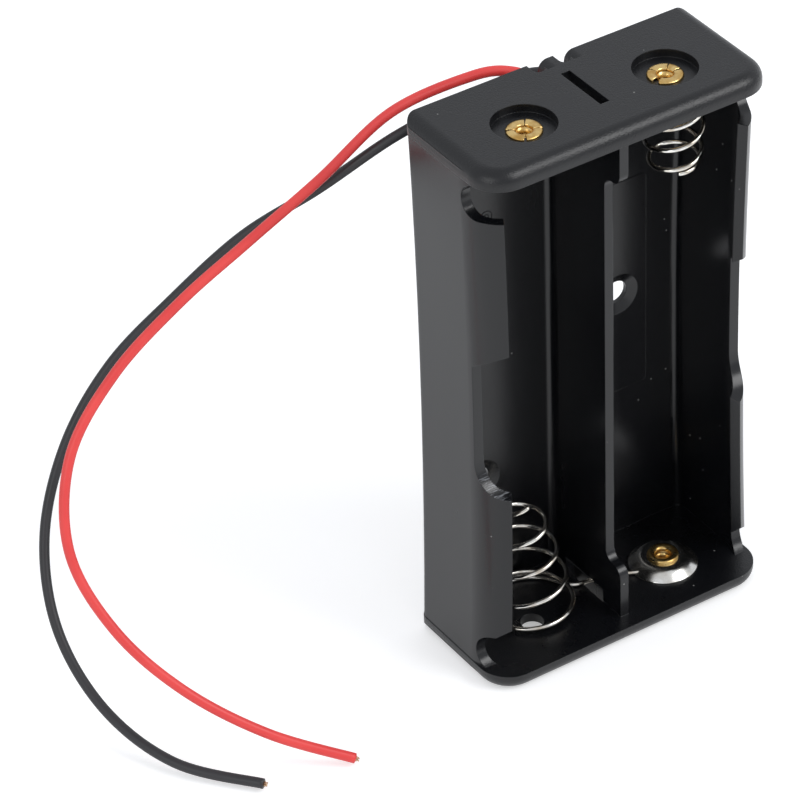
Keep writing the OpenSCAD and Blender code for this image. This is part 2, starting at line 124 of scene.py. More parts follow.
def grid_faces(rows, columns, start=0, closed=True):
    """Quads between the points of a grid laid row after row; closed joins the last column to the
    first. The order makes a tube's faces look outwards when its columns turn anticlockwise about
    the way that its rows run."""
    row, column = np.meshgrid(np.arange(rows - 1), np.arange(columns - (not closed)), indexing="ij")
    beside = (column + 1) % columns
    quads = np.stack([row * columns + column, row * columns + beside,
                      (row + 1) * columns + beside, (row + 1) * columns + column], -1)
    return quads.reshape(-1, 4) + start


def make_piece(name, points_mm, faces, material, body="holder", uv=None):
    """One smooth mesh object from points in millimetres and lists of faces, riding on a body. uv,
    one pair per point, becomes the piece's UV map."""
    mesh = bpy.data.meshes.new(name)
    mesh.from_pydata((np.asarray(points_mm) * MM).tolist(), [],
                     [list(map(int, face)) for face in faces])
    mesh.polygons.foreach_set("use_smooth", np.ones(len(mesh.polygons), bool))
    if uv is not None:
        corners = np.empty(len(mesh.loops), np.int32)
        mesh.loops.foreach_get("vertex_index", corners)
        mesh.uv_layers.new(name="along").data.foreach_set("uv", np.asarray(uv)[corners].ravel())
    mesh.materials.append(material)
    piece = bpy.data.objects.new(name, mesh)
    bpy.context.scene.collection.objects.link(piece)
    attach(piece, body)
    print(f"{name}: {len(mesh.polygons)} faces")
    return piece


def linear(code):
    """A hex colour as linear light with alpha: each channel c is c/12.92 when small, otherwise
    ((c + 0.055) / 1.055) to the power 2.4."""
    c = np.array([int(code[i:i + 2], 16) for i in (1, 3, 5)]) / 255
    return (*np.where(c <= 0.04045, c / 12.92, ((c + 0.055) / 1.055) ** 2.4), 1.0)


def add(tree, kind, settings=None, **inputs):
    """One shader node. settings are its own properties; inputs name its sockets, with spaces as
    underscores or numbered as _0, and each takes a number, a colour or another node's output."""
    node = tree.nodes.new(kind)
    for name, value in (settings or {}).items():
        setattr(node, name, value)
    for name, value in inputs.items():
        key = int(name[1:]) if name[1:].isdigit() else name.replace("_", " ")
        socket = node.inputs[key]
        if isinstance(value, bpy.types.NodeSocket):
            tree.links.new(value, socket)
        else:
            socket.default_value = value
    return node


def new_material(name):
    """An empty node material: its tree, its shader and its object coordinates in metres."""
    material = bpy.data.materials.new(name)
    material.use_nodes = True
    tree = material.node_tree
    place = tree.nodes.new("ShaderNodeTexCoord")
    return material, tree, tree.nodes["Principled BSDF"], place


def per_mm(size_mm):
    """The texture scale at which one cell of a pattern measures size_mm."""
    return 1 / (size_mm * MM)


# %% [markdown]
# ## Leads
# Each lead is a stranded conductor in soft PVC. It was made straight and keeps some of its
# springiness, so the two sweep out in one wide loop and come to rest on their cut ends. A route of
# points is smoothed, and a ring is carried along it. The points nearest the contacts were chosen
# one by one. Those of the long sweep were found by a search on a half-millimetre grid, and the
# first four of them on each lead were then moved one by one. The ring's directions come from one
# fixed reference, so the tube never twists.

# %% Routes of the leads, in millimetres
RED_ROUTE = [
    [-4.9, 1.8, 73.5], [-4, 4.5, 73.2], [-2.6, 7, 73.4], [-2.1, 9.3, 73.8], [-2.8, 11.7, 74.3],
    [-7, 14, 74.2], [-15.5, 19, 69.7], [-25, 20.5, 63], [-35, 21, 57.8], [-45, 21, 53],
    [-54.5, 21, 46.5], [-62, 19.5, 38.5], [-65, 16, 28], [-63, 10, 19],
    [-57.5, 4, 11], [-50, -2.5, 5], [-41.5, -8.5, 1]]
BLACK_ROUTE = [
    [8.6, 5.6, 73.2], [6, 6.3, 73.1], [3.4, 6.7, 73], [2, 9, 72.9], [1.5, 12, 72.5],
    [-1.5, 14.2, 71.6], [-7.5, 15.6, 70], [-16, 18, 66.8], [-24, 22.5, 60.2], [-32, 27.5, 53.8],
    [-40, 31.5, 45.5], [-48, 34, 37.5], [-55, 34, 28.5], [-61, 30, 19.5], [-64, 23, 11],
    [-63.5, 13.5, 4.5], [-60, 3, 1.5], [-53, -6, 1]]
LEAD_D = 1.3
CONDUCTOR_D = 0.62
STRANDS = 7


def smooth_route(route, steps):
    """The route with steps points from each of its points to the next, on a Catmull-Rom curve:
    each stretch is the cubic that leaves along the line joining its neighbours before and after."""
    p = np.array(route, float)
    p = np.vstack([p[:1], p, p[-1:]])
    u = np.linspace(0, 1, steps, endpoint=False)[None, :, None]
    a, b, c, d = (p[i:len(p) - 3 + i, None] for i in range(4))
    curve = b + 0.5 * u * (c - a + u * (2 * a - 5 * b + 4 * c - d + u * (3 * b - a - 3 * c + d)))
    return np.vstack([curve.reshape(-1, 3), p[-1:]])


def path_frames(path, reference):
    """Unit directions along a path and two directions square to each of them."""
    along = np.gradient(path, axis=0)
    along /= np.linalg.norm(along, axis=1, keepdims=True)
    side = np.cross(along, reference)
    side /= np.linalg.norm(side, axis=1, keepdims=True)
    return along, side, np.cross(along, side)


def tube(path, radius, sides, reference):
    """Rings of points round a path: each point is the path's point plus radius times the cosine
    and sine of its angle along the two square directions. radius may change along the path."""
    _, u, v = path_frames(path, reference)
    angle = np.arange(sides) * 2 * np.pi / sides
    ring = np.cos(angle)[None, :, None] * u[:, None] + np.sin(angle)[None, :, None] * v[:, None]
    return path[:, None] + np.broadcast_to(radius, len(path))[:, None, None] * ring


def path_length(path):
    """The summed length of the path's pieces."""
    return float(np.linalg.norm(np.diff(path, axis=0), axis=1).sum())


# %% [markdown]
# ## Finish of the leads: soft PVC
# Extruded PVC insulation is evenly coloured with a soft, slightly waxy gloss, and handling leaves
# faint smears and dust on it. The pattern runs along the lead, so it reads the lead's own UV map,
# whose first axis is millimetres along it and whose second is millimetres round it.

# %% PVC materials
PVC_IOR = 1.53
SMEAR_MM = 6.0
SMEAR_ROUGHER, SMEAR_SMOOTHER = 0.08, 0.06
DIE_LINE_DEPTH = 0.01


def pvc(name, colour, dull, roughness):
    """Extruded PVC, IOR PVC_IOR: a satin surface with die lines along it and a little dust."""
    material, tree, shader, place = new_material(name)
    lines = add(tree, "ShaderNodeMapping", Vector=place.outputs["UV"], Scale=(0.15, 3.0, 1.0))
    die = add(tree, "ShaderNodeTexNoise", Vector=lines.outputs[0], Scale=1.6, Detail=3.0)
    smear = add(tree, "ShaderNodeTexNoise", Vector=place.outputs["Object"],
                Scale=per_mm(SMEAR_MM), Detail=3.0)
    shade = add(tree, "ShaderNodeValToRGB", Fac=smear.outputs[0])
    shade.color_ramp.elements[0].position = 0.35
    shade.color_ramp.elements[0].color = linear(dull)
    shade.color_ramp.elements[1].position = 0.62
    shade.color_ramp.elements[1].color = linear(colour)
    tree.links.new(shade.outputs["Color"], shader.inputs["Base Color"])
    rough = add(tree, "ShaderNodeMapRange", Value=smear.outputs[0], From_Min=0.3, From_Max=0.7,
                To_Min=roughness - SMEAR_SMOOTHER, To_Max=roughness + SMEAR_ROUGHER)
    tree.links.new(rough.outputs[0], shader.inputs["Roughness"])
    bump = add(tree, "ShaderNodeBump", Height=die.outputs[0], Strength=0.25,
               Distance=DIE_LINE_DEPTH * MM)
    tree.links.new(bump.outputs[0], shader.inputs["Normal"])
    shader.inputs["IOR"].default_value = PVC_IOR
    return material


RED_PVC = pvc("red_pvc_insulation", "#f24a47", "#e94140", 0.42)
BLACK_PVC = pvc("black_pvc_insulation", "#2a292c", "#232325", 0.45)
print("leads in", RED_PVC.name, "and", BLACK_PVC.name)


# %% [markdown]
# ## Tinned conductor
# The cut end shows a bundle of fine tinned copper strands a little proud of the insulation.

# %% Tinned copper
STREAK_MM = 0.3


def tinned_copper():
    """Tinned copper: a pale warm metal, with a fine mottle from a darker to a lighter tone."""
    material, tree, shader, place = new_material("tinned_copper_strand")
    streak = add(tree, "ShaderNodeTexNoise", Vector=place.outputs["Object"],
                 Scale=per_mm(STREAK_MM), Detail=2.0)
    shade = add(tree, "ShaderNodeValToRGB", Fac=streak.outputs[0])
    shade.color_ramp.elements[0].color = linear("#b98a62")
    shade.color_ramp.elements[1].color = linear("#dcc3a8")
    tree.links.new(shade.outputs["Color"], shader.inputs["Base Color"])
    shader.inputs["Metallic"].default_value = 1.0
    shader.inputs["Roughness"].default_value = 0.32
    return material


TINNED = tinned_copper()

# %% Leads
LEAD_STEPS, LEAD_SIDES = 14, 28
CUT_ROUND = 0.12
STRAND_R, STRAND_OFF, STRAND_SIDES, STRAND_ROWS = 0.095, 0.2, 8, 5


def lead(name, route, material):
    """A lead's insulation: the tube along the route, its ends closed by rings that shrink to the
    conductor. The last ring before the far end is drawn in a little, as a cutter leaves it."""
    path = smooth_route(route, LEAD_STEPS)
    along, _, _ = path_frames(path, (0, 1, 0))
    radius = np.full(len(path), LEAD_D / 2)
    rings = tube(path, radius, LEAD_SIDES, (0, 1, 0))
    inner = CONDUCTOR_D / LEAD_D
    start = path[0] + (rings[0] - path[0]) * inner
    lip = path[-1] + (rings[-1] - path[-1]) * (1 - CUT_ROUND) + along[-1] * 0.03
    end = path[-1] + (rings[-1] - path[-1]) * inner + along[-1] * 0.01
    rings = np.concatenate([start[None], rings, lip[None], end[None]])
    count = len(rings)
    points = rings.reshape(-1, 3)
    faces = grid_faces(count, LEAD_SIDES).tolist()
    faces += [list(range(LEAD_SIDES))[::-1], list(range(len(points) - LEAD_SIDES, len(points)))]
    run = np.r_[0, np.cumsum(np.linalg.norm(np.diff(path, axis=0), axis=1))]
    run = np.r_[run[0], run, run[-1] + 0.1, run[-1] + 0.4]
    round_ = np.arange(LEAD_SIDES) * np.pi * LEAD_D / LEAD_SIDES
    uv = np.stack(np.meshgrid(run, round_, indexing="ij"), -1).reshape(-1, 2)
    piece = make_piece(name, points, faces, material, uv=uv)
    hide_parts(name.replace("_insulation", ""))
    print(f"{name}: {path_length(path):.1f} mm long")
    return path, along


def strand_bundle(name, path, along):
    """The strands that stand out of a cut end: one in the middle and the others round it, each a
    short tube that fans out a little, by an angle and a length of its own."""
    tip, way = path[-1], along[-1]
    side = np.cross(way, (0, 0, 1.0))
    side /= np.linalg.norm(side)
    over = np.cross(side, way)
    points, faces = [], []
    sides, rows = STRAND_SIDES, STRAND_ROWS
    for k in range(STRANDS):
        angle = k * 2 * np.pi / (STRANDS - 1)
        off = 0 if k == 0 else STRAND_OFF
        out = np.cos(angle) * side + np.sin(angle) * over
        reach = 0.42 + 0.16 * np.sin(2.3 * k)
        u = np.linspace(0, 1, rows)[:, None]
        line = tip + out * off * (1 + 0.5 * u * u) + way * (u * reach - 0.05)
        rings = tube(line, STRAND_R, sides, side)
        start = sum(len(p) for p in points)
        faces += grid_faces(rows, sides, start).tolist()
        faces.append([start + (rows - 1) * sides + i for i in range(sides)])
        faces.append([start + i for i in range(sides)][::-1])
        points.append(rings.reshape(-1, 3))
    return make_piece(name, np.concatenate(points), faces, TINNED)


red_path, red_along = lead("red_lead_insulation", RED_ROUTE, RED_PVC)
black_path, black_along = lead("black_lead_insulation", BLACK_ROUTE, BLACK_PVC)
strand_bundle("red_lead_cut_end", red_path, red_along)
strand_bundle("black_lead_cut_end", black_path, black_along)

# %% [markdown]
# ## Floor and light
# The holder stands on a plain white table in a pale tent. Most of the light is the tent's own,
# which is even and leaves hardly a shadow; one soft box in front, above and to the right, puts the
# highlight on the rounded upper edge and on the wires, and a weak one fills from the left. Black
# plastic shows little of its own colour: what the eye sees on it is the tent and the table,
# mirrored the more strongly the flatter the surface is looked at.

# %% Floor
FLOOR_HALF = 1500.0
CAMERA_GLOW, GLOSSY_GLOW = 0.42, 0.28


def floor_material():
    """White laminate. It sends back plain light, and a small glow to the camera, to reflections
    and through glass only, so that it reads as white and still keeps the holder's shadow."""
    material, tree, shader, _ = new_material("white_table")
    shader.inputs["Base Color"].default_value = (0.86, 0.86, 0.86, 1)
    shader.inputs["Roughness"].default_value = 0.6
    ray = add(tree, "ShaderNodeLightPath")
    direct = add(tree, "ShaderNodeMath", {"operation": "MAXIMUM"},
                 _0=ray.outputs["Is Camera Ray"], _1=ray.outputs["Is Transmission Ray"])
    strength = add(tree, "ShaderNodeMath", {"operation": "MULTIPLY"}, _0=direct.outputs[0],
                   _1=CAMERA_GLOW)
    strength = add(tree, "ShaderNodeMath", {"operation": "MULTIPLY_ADD"},
                   _0=ray.outputs["Is Glossy Ray"], _1=GLOSSY_GLOW, _2=strength.outputs[0])
    glow = add(tree, "ShaderNodeEmission", Color=(1, 1, 1, 1), Strength=strength.outputs[0])
    both = add(tree, "ShaderNodeAddShader", _0=shader.outputs[0], _1=glow.outputs[0])
    output = tree.nodes["Material Output"]
    tree.links.new(both.outputs[0], output.inputs["Surface"])
    return material


corners = np.array([[-1, -1, 0], [1, -1, 0], [1, 1, 0], [-1, 1, 0]]) * FLOOR_HALF
floor_mesh = bpy.data.meshes.new("table")
floor_mesh.from_pydata((corners * MM).tolist(), [], [[0, 1, 2, 3]])
floor_mesh.materials.append(floor_material())
floor = bpy.data.objects.new("table", floor_mesh)
bpy.context.scene.collection.objects.link(floor)

# %% World and lamps
TENT_LIGHT, TENT_GLOSS = 0.72, 0.75


def area_light(name, place_mm, aim_mm, size_mm, watts):
    """A square soft box at a place, turned to face a point."""
    lamp = bpy.data.lights.new(name, "AREA")
    lamp.energy = watts
    lamp.size = size_mm * MM
    holder = bpy.data.objects.new(name, lamp)
    bpy.context.scene.collection.objects.link(holder)
    place = mathutils.Vector([c * MM for c in place_mm])
    holder.location = place
    holder.rotation_euler = (mathutils.Vector([c * MM for c in aim_mm]) - place).to_track_quat(
        "-Z", "Y").to_euler()


world = bpy.data.worlds.new("pale_room")
bpy.context.scene.world = world
world.use_nodes = True
sky = world.node_tree
sky_ray = add(sky, "ShaderNodeLightPath")
direct_ray = add(sky, "ShaderNodeMath", {"operation": "MAXIMUM"},
                 _0=sky_ray.outputs["Is Camera Ray"], _1=sky_ray.outputs["Is Transmission Ray"])
tent = add(sky, "ShaderNodeMapRange", Value=sky_ray.outputs["Is Glossy Ray"],
           To_Min=TENT_LIGHT, To_Max=TENT_GLOSS)
room = add(sky, "ShaderNodeMapRange", Value=direct_ray.outputs[0],
           To_Min=tent.outputs[0], To_Max=1.0)
sky.nodes["Background"].inputs["Color"].default_value = (0.93, 0.955, 1, 1)
sky.links.new(room.outputs[0], sky.nodes["Background"].inputs["Strength"])

area_light("front_soft_box", (300, -416, 514), (0, 0, 40), 340, 1.7)
area_light("left_soft_box", (-520, -200, 300), (0, 0, 35), 300, 0.5)
bpy.context.scene.view_settings.view_transform = "Standard"
print("floor, world and two soft boxes")

# %% [markdown]
# ## The housing's plastic
# The housing is injection-moulded black ABS. Spark-eroded steel leaves a fine grain on it, flow
# leaves faint broad streaks, and handling leaves pale dust. Bright lines of painted highlight on
# the lower part of the left ramp stand in for light glinting off the ridges of the trimming tool.
# All of it is bump, roughness and changes of colour worked out from the object's own coordinates.

# %% Moulded ABS
ABS_IOR = 1.5
GRAIN_MM, GRAIN_DEPTH = 0.22, 0.045
FLOW_MM = 7.0
SPECK_MM, SPECK_RARITY = 2.1, 0.8
CAP_MM, CAP_BLEND, CAP_ROUGHER = 2.6, 0.3, 0.05
EDGE_R = 0.15
# the ramp below each finger gap is part of a cylinder along X; the left one's lower part, below
# LINES_HIGH, gets painted highlight: bright lines along X that stand in for light glinting off
# the ridges that the trimming tool left
RAMP_R = 4.6
RAMP_Y, RAMP_Z = BACK_Y - 12.4 - RAMP_R, 33.2
LINES_HIGH, LINES_FULL, LINES_MM = 31.6, 30.4, 0.16


def moulded_abs():
    """Black ABS, IOR ABS_IOR. Three patterns make its surface: grain, flow marks that change the
    gloss, and sparse specks of dust. The end walls, within CAP_MM of the ends, come off a coarser
    steel than the polished sides, so the grain is deeper there."""
    material, tree, shader, place = new_material("moulded_black_abs")
    where = place.outputs["Object"]
    height = add(tree, "ShaderNodeSeparateXYZ", Vector=where)
    middle_off = add(tree, "ShaderNodeMath", {"operation": "SUBTRACT"}, _0=height.outputs["Z"],
                     _1=BODY_L / 2 * MM)
    middle_off = add(tree, "ShaderNodeMath", {"operation": "ABSOLUTE"}, _0=middle_off.outputs[0])
    cap = add(tree, "ShaderNodeMapRange", Value=middle_off.outputs[0],
              From_Min=(BODY_L / 2 - CAP_MM - CAP_BLEND) * MM,
              From_Max=(BODY_L / 2 - CAP_MM + CAP_BLEND) * MM)
    grain = add(tree, "ShaderNodeTexNoise", Vector=where, Scale=per_mm(GRAIN_MM), Detail=3.0,
                Roughness=0.6)
    flow_map = add(tree, "ShaderNodeMapping", Vector=where, Scale=(1.0, 1.0, 0.25))
    flow = add(tree, "ShaderNodeTexNoise", Vector=flow_map.outputs[0], Scale=per_mm(FLOW_MM),
               Detail=4.0, Roughness=0.55)
    specks = add(tree, "ShaderNodeTexVoronoi", Vector=where, Scale=per_mm(SPECK_MM))
    chance = add(tree, "ShaderNodeSeparateColor", Color=specks.outputs["Color"])
    rare = add(tree, "ShaderNodeMath", {"operation": "GREATER_THAN"}, _0=chance.outputs[0],
               _1=SPECK_RARITY)
    near = add(tree, "ShaderNodeMapRange", Value=specks.outputs["Distance"], From_Min=0.035,
               From_Max=0.06, To_Min=1.0, To_Max=0.0)
    dust = add(tree, "ShaderNodeMath", {"operation": "MULTIPLY"}, _0=near.outputs[0],
               _1=rare.outputs[0])
    base = add(tree, "ShaderNodeValToRGB", Fac=flow.outputs[0])
    base.color_ramp.elements[0].position = 0.3
    base.color_ramp.elements[0].color = linear("#0c0d10")
    base.color_ramp.elements[1].position = 0.75
    base.color_ramp.elements[1].color = linear("#111215")
    colour = add(tree, "ShaderNodeMix", {"data_type": "RGBA"}, _0=dust.outputs[0])
    tree.links.new(base.outputs["Color"], colour.inputs[6])
    colour.inputs[7].default_value = linear("#8d8d8a")
    flat = add(tree, "ShaderNodeVectorMath", {"operation": "MULTIPLY"}, _0=where, _1=(0, 1, 1))
    far = add(tree, "ShaderNodeVectorMath", {"operation": "DISTANCE"}, _0=flat.outputs[0],
              _1=(0, RAMP_Y * MM, RAMP_Z * MM))
    ramp = add(tree, "ShaderNodeMath", {"operation": "COMPARE"}, _0=far.outputs["Value"],
               _1=RAMP_R * MM, _2=0.06 * MM)
    # painted highlight lines on the left ramp: noise stretched along X, kept below LINES_HIGH
    glint_noise_map = add(tree, "ShaderNodeMapping", Vector=where, Scale=(0.12, 1.0, 1.0))
    glint_noise = add(tree, "ShaderNodeTexNoise", Vector=glint_noise_map.outputs[0],
               Scale=per_mm(LINES_MM), Detail=2.0)
    low_part = add(tree, "ShaderNodeMapRange", Value=height.outputs["Z"],
                   From_Min=LINES_HIGH * MM, From_Max=LINES_FULL * MM)
    bright = add(tree, "ShaderNodeMapRange", Value=glint_noise.outputs[0], From_Min=0.5, From_Max=0.72,
                 To_Max=low_part.outputs[0])
    glint_lines = add(tree, "ShaderNodeMath", {"operation": "MULTIPLY"}, _0=bright.outputs[0],
               _1=ramp.outputs[0])
    left = add(tree, "ShaderNodeMath", {"operation": "LESS_THAN"}, _0=height.outputs["X"], _1=0.0)
    glint_lines = add(tree, "ShaderNodeMath", {"operation": "MULTIPLY"}, _0=glint_lines.outputs[0],
               _1=left.outputs[0])
    # painted highlight: along these lines the base colour turns from black to a bright bluish grey
    painted_glints = add(tree, "ShaderNodeMix", {"data_type": "RGBA"}, _0=glint_lines.outputs[0])
    tree.links.new(colour.outputs[2], painted_glints.inputs[6])
    painted_glints.inputs[7].default_value = linear("#85878b")
    tree.links.new(painted_glints.outputs[2], shader.inputs["Base Color"])
    rough = add(tree, "ShaderNodeMapRange", Value=flow.outputs[0], From_Min=0.3, From_Max=0.7,
                To_Min=0.2, To_Max=0.28)
    rough = add(tree, "ShaderNodeMath", {"operation": "MULTIPLY_ADD"}, _0=cap.outputs[0],
                _1=CAP_ROUGHER, _2=rough.outputs[0])
    tree.links.new(rough.outputs[0], shader.inputs["Roughness"])
    depth = add(tree, "ShaderNodeMapRange", Value=cap.outputs[0], To_Min=0.07, To_Max=1.0)
    edge = add(tree, "ShaderNodeBevel", {"samples": 4}, Radius=EDGE_R * MM)
    fine = add(tree, "ShaderNodeBump", Height=grain.outputs[0], Strength=depth.outputs[0],
               Distance=GRAIN_DEPTH * MM, Normal=edge.outputs[0])
    tree.links.new(fine.outputs[0], shader.inputs["Normal"])
    shader.inputs["IOR"].default_value = ABS_IOR
    return material


ABS = moulded_abs()
print("housing in", ABS.name, "with grain of", GRAIN_MM, "mm")

# %% [markdown]
# ## Nickel and brass
# The springs and washers are bright nickel-plated steel, the eyelets drawn brass. Both are
# metals: their colour is in the reflection. Fine noise dents their surface, and plating leaves a
# faint warm cloudiness.

# %% Metals
DENT_MM, DENT_DEPTH = 0.25, 0.01
CLOUD_ROUGHER = 0.08


def bright_metal(name, clean, stained, roughness, cloud_mm):
    """A plated or drawn metal: clouds of cloud_mm blend the clean colour into the stained one and
    raise the roughness a little, and fine noise dents the surface."""
    material, tree, shader, place = new_material(name)
    where = place.outputs["Object"]
    cloud = add(tree, "ShaderNodeTexNoise", Vector=where, Scale=per_mm(cloud_mm), Detail=3.0)
    shade = add(tree, "ShaderNodeValToRGB", Fac=cloud.outputs[0])
    shade.color_ramp.elements[0].position = 0.35
    shade.color_ramp.elements[0].color = linear(stained)
    shade.color_ramp.elements[1].position = 0.6
    shade.color_ramp.elements[1].color = linear(clean)
    tree.links.new(shade.outputs["Color"], shader.inputs["Base Color"])
    rough = add(tree, "ShaderNodeMapRange", Value=cloud.outputs[0], From_Min=0.3, From_Max=0.7,
                To_Min=roughness + CLOUD_ROUGHER, To_Max=roughness)
    tree.links.new(rough.outputs[0], shader.inputs["Roughness"])
    dent = add(tree, "ShaderNodeTexNoise", Vector=where, Scale=per_mm(DENT_MM), Detail=2.0)
    bump = add(tree, "ShaderNodeBump", Height=dent.outputs[0], Strength=0.2,
               Distance=DENT_DEPTH * MM)
    tree.links.new(bump.outputs[0], shader.inputs["Normal"])
    shader.inputs["Metallic"].default_value = 1.0
    return material


NICKEL = bright_metal("nickel_plated_spring_wire", "#f3f1ec", "#cfc6b8", 0.1, 2.0)
NICKEL_SHEET = bright_metal("nickel_plated_sheet", "#f0efeb", "#d2cdc4", 0.16, 2.5)
BRASS = bright_metal("drawn_brass", "#e9c987", "#c99f58", 0.25, 1.2)

NODE_FINISH = {"housing": ABS, "red_lead_strands": TINNED, "black_lead_strands": TINNED}
for node, material in NODE_FINISH.items():
    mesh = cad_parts[node].data
    mesh.materials.clear()
    mesh.materials.append(material)
print("finishes on", len(NODE_FINISH), "nodes")

# %% [markdown]
# ## Springs
# Each contact spring is one wire. It is clamped in a hook round an eyelet's shank, lies flat for
# one closed turn, then climbs as a cone whose axis leans a little. The same three steps give its
# path, and a fine ring is carried along it. A cell presses the spring flat against its end wall,
# so the piece stays on the holder.

# %% Spring paths, in millimetres
WIRE_D = 0.6
WIRE_GAP = 0.04
END_T = 2.35
SHANK_R = 1.45
WIRE_STEPS = 64
HOOK_TURN = 252
CONTACT_X, CONTACT_Y = series_eye[0], series_eye[1]
HOOK_R = SHANK_R + WIRE_GAP + WIRE_D / 2


def ease(u):
    """Zero below 0, one above 1, and 3u squared less 2u cubed between."""
    u = np.clip(u, 0, 1)
    return u * u * (3 - 2 * u)


def circle(centre, radius, degrees, z):
    """Points of a circle in a level plane; each of the four may be an array."""
    a = np.radians(degrees)
    return np.stack(np.broadcast_arrays(centre[0] + radius * np.cos(a),
                                        centre[1] + radius * np.sin(a), z), -1)


def leaning(centre, out, z, lean, t, z0, side):
    """Points of a spring whose axis leans: the turn's point out is carried along the axis, and
    tips over with it by its distance along the lean, eased in as it leaves the closed turn."""
    tip = ease((t + 1) / 1.5) * (out @ lean)
    x, y = (centre[i] + lean[i] * z + out[:, i] for i in (0, 1))
    return np.stack([x, y, z0 + side * (z - tip)], -1)


def cone_turns(t, turns, base_r, tip_r, swell, degrees):
    """Each point's place in its turn: the radius falls from base_r to tip_r as a power of t."""
    u = np.clip((t + 1) / (turns + 1), 0, 1)
    radius = base_r + (tip_r - base_r) * u ** swell
    a = np.radians(degrees)
    return radius[:, None] * np.stack([np.cos(a), np.sin(a)], -1)


def series_wire():
    """The series spring: hook, straight tail through the divider's notch, a bend, and the cone."""
    centre = np.array([-CONTACT_X + 1.55, CONTACT_Y + 2.4])
    z0 = END_T + WIRE_GAP + WIRE_D / 2
    base_r, tip_r, swell = 5.5, 2.1, 1.75
    first_rise, pitch = 0.78, 4
    turns, start, lean = 3.75, -0.93, np.array([-0.04, 0.1])
    t = np.linspace(start, turns, int((turns - start) * WIRE_STEPS))
    z = np.where(t < 0, first_rise * (t + 1) ** 2, first_rise + pitch * t)
    out = cone_turns(t, turns, base_r, tip_r, swell, 360 * t)
    cone = leaning(centre, out, z, lean, t, z0, 1)
    link_mid = np.array([0, CONTACT_Y + 2.15, z0])
    link_end = np.array([CONTACT_X - 5.7, CONTACT_Y + 0.8, z0])
    knee = np.array([centre[0] + base_r + 0.55, link_mid[1] + 0.35, z0])
    u = np.linspace(1, 0, 14)[:-1, None]
    into = (link_mid + knee) / 2
    bend = (1 - u) ** 2 * cone[0] + 2 * u * (1 - u) * knee + u ** 2 * into
    toward = np.array([CONTACT_X, CONTACT_Y]) - link_end[:2]
    meet = np.degrees(np.arctan2(toward[1], toward[0]) - np.arcsin(HOOK_R / np.hypot(*toward))) - 90
    hook = circle((CONTACT_X, CONTACT_Y), HOOK_R, meet + np.linspace(HOOK_TURN, 0, 50), z0)
    line = hook[-1] + (link_end - hook[-1]) * np.linspace(0, 1, 8)[1:-1, None]
    run = link_end + (link_mid - link_end) * np.linspace(0, 1, 8)[:-1, None]
    return np.vstack([hook, line, run, link_mid, bend, cone])


def negative_wire():
    """The negative spring: hook, flat wind out to the closed turn, and a cone that closes up again
    over its last turns, where its slope falls to nothing as a power of the way still to go."""
    eyelet = np.array([CONTACT_X, CONTACT_Y])
    centre = eyelet + [1.05, 0.4]
    z0 = BODY_L - END_T - WIRE_GAP - WIRE_D / 2
    base_r, tip_r, swell = 5.2, 2.9, 0.6
    first_rise, pitch = 1.35, 3.5
    turns, closing, power = 3.7, 1.3, 1.5
    phase, wind, lean = 135, 300, np.array([0.1, 0.05])
    t = np.linspace(-1, turns, int((turns + 1) * WIRE_STEPS))
    open_t = np.minimum(t, turns - closing)
    v = (t - open_t) / closing
    closed = closing * (1 - (1 - v) ** (power + 1)) / (power + 1)
    fall = np.where(t < 0, first_rise * (t + 1) ** 2, first_rise + pitch * (open_t + closed))
    degrees = phase - 360 * t
    out = cone_turns(t, turns, base_r, tip_r, swell, degrees)
    cone = leaning(centre, out, fall, lean, t, z0, -1)
    hook = circle(eyelet, HOOK_R, phase + wind + np.linspace(HOOK_TURN, 0, 50)[:-1], z0)
    u = np.linspace(0, 1, 60)[:-1]
    core = eyelet + (centre - eyelet) * ease(u)[:, None]
    flat = circle(core.T, HOOK_R + (base_r - HOOK_R) * ease(u), phase + wind * (1 - u), z0)
    return np.vstack([hook, flat, cone])


# %% Spring pieces
WIRE_SIDES = 20
CUT_SHARE, CUT_DEPTH = 0.85, 0.04


def spring(name, node, path):
    """A round wire along its path. Each flat cut end stands CUT_DEPTH past the path and is drawn
    in to CUT_SHARE of the wire's radius, so that the cut keeps a small bevel."""
    rings = tube(path, WIRE_D / 2, WIRE_SIDES, (0, 0, 1))
    along, _, _ = path_frames(path, (0, 0, 1))
    first = path[0] + (rings[0] - path[0]) * CUT_SHARE - along[0] * CUT_DEPTH
    last = path[-1] + (rings[-1] - path[-1]) * CUT_SHARE + along[-1] * CUT_DEPTH
    rings = np.concatenate([first[None], rings, last[None]])
    points = rings.reshape(-1, 3)
    faces = grid_faces(len(rings), WIRE_SIDES).tolist()
    faces += [list(range(WIRE_SIDES))[::-1],
              list(range(len(points) - WIRE_SIDES, len(points)))]
    piece = make_piece(name, points, faces, NICKEL)
    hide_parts(node)
    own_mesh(piece)


spring("series_spring_wire", "series_spring", series_wire())
spring("negative_spring_wire", "negative_spring", negative_wire())

# %% [markdown]
# ## Eyelets and washers
# Each eyelet is drawn from brass tube. Its flared head lies in the bay, and its far end was split
# and rolled over by the riveting tool, which leaves petals of unequal width with slits between
# them. A cupped washer of nickel-plated sheet sits under two of the heads, and its sloping flange
# catches the light. All are turned shapes: a closed half section is carried round the eyelet's
# axis, over a part of a turn for each petal.

# %% Turned shapes


def turned(section, first=0.0, last=360.0, steps=96):
    """A closed half section of (radius, height) pairs, anticlockwise, carried round the vertical
    axis from one angle to another: x is the radius times the angle's cosine, y the radius times
    its sine. Part of a turn gets two end faces."""
    whole = last - first >= 360
    angle = np.radians(np.linspace(first, last, steps, endpoint=not whole))[:, None]
    r, z = np.asarray(section, float).T
    points = np.stack(np.broadcast_arrays(r * np.cos(angle), r * np.sin(angle), z), -1)
    sides = len(r)
    faces = grid_faces(steps + whole, sides)[:, ::-1] % (steps * sides)
    ends = [] if whole else [list(range(sides)),
                             list(range((steps - 1) * sides, steps * sides))[::-1]]
    return points.reshape(-1, 3), faces.tolist() + ends


